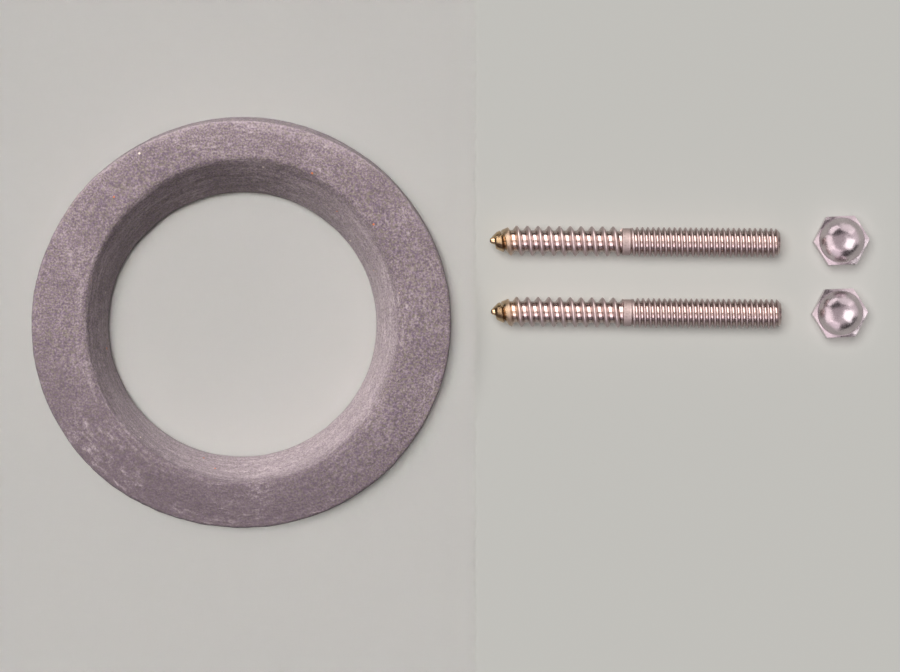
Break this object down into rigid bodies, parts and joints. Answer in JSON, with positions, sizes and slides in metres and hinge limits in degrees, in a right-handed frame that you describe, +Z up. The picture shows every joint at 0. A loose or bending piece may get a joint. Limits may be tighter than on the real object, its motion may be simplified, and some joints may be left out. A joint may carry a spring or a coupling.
{
  "type": "toilet flange seal kit",
  "caption": "Round sponge rubber floor-flange seal with a tapered bore, laid out with its hanger bolts and hex cap nuts.",
  "frame": {"origin": "axis of the seal's bore, in the plane the kit lies on", "axes": "+Z up out of the seal's bore, +X along the hanger bolts from point to machine thread, +Y to the rear"},
  "size_m": [0.2192, 0.108, 0.019],
  "materials": {
    "sponge_rubber": "dusty matt, closed cell",
    "stainless_steel": "bright, rolled and forged"
  },
  "bodies": {
    "seal": {"flange_seal": "sponge_rubber"},
    "rear_bolt": {"hanger_bolt_rear": "stainless_steel"},
    "rear_nut": {"cap_nut_rear": "stainless_steel"},
    "front_bolt": {"hanger_bolt_front": "stainless_steel"},
    "front_nut": {"cap_nut_front": "stainless_steel"}
  },
  "joints": [
    {"name": "rear_bolt_lift", "type": "slide", "parent": "seal", "child": "rear_bolt", "axis": [0, 0, 1], "range_m": [0, 0.03]},
    {"name": "rear_nut_lift", "type": "slide", "parent": "seal", "child": "rear_nut", "axis": [0, 0, 1], "range_m": [0, 0.03]},
    {"name": "front_bolt_lift", "type": "slide", "parent": "seal", "child": "front_bolt", "axis": [0, 0, 1], "range_m": [0, 0.03]},
    {"name": "front_nut_lift", "type": "slide", "parent": "seal", "child": "front_nut", "axis": [0, 0, 1], "range_m": [0, 0.03]}
  ]
}
